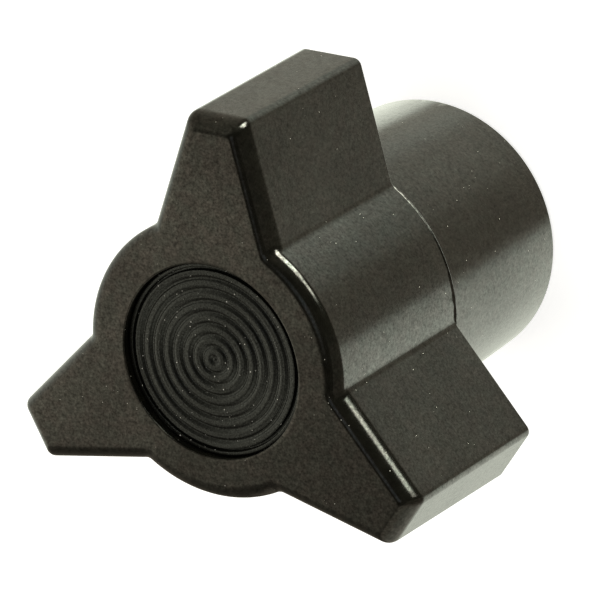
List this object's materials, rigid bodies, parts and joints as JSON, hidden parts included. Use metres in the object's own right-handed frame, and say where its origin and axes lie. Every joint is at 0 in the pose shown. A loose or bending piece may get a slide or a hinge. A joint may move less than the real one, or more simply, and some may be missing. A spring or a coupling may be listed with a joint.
{
  "type": "wing nut",
  "caption": "Three-winged moulded clamping nut: straight-flanked wings on a long round hub, ring-turned cover disc in the front face, blind metric thread in a metal insert.",
  "frame": {"origin": "centre of the threaded hole's mouth, on the seating face of the insert at the free end of the hub", "axes": "+Z runs along the thread axis from the seating face to the front face, +Y along one wing, +X to its right; the other wings lie at 210 and 330 degrees"},
  "size_m": [0.0582, 0.0507, 0.0555],
  "materials": {
    "plastic": "satin-gloss moulded black-brown phenolic with fine specks",
    "disc_plastic": "matt, ring-turned",
    "brass": "turned, plain"
  },
  "bodies": {
    "root": {"grip_body": "plastic", "cover_disc": "disc_plastic", "thread_insert": "brass"}
  },
  "joints": []
}
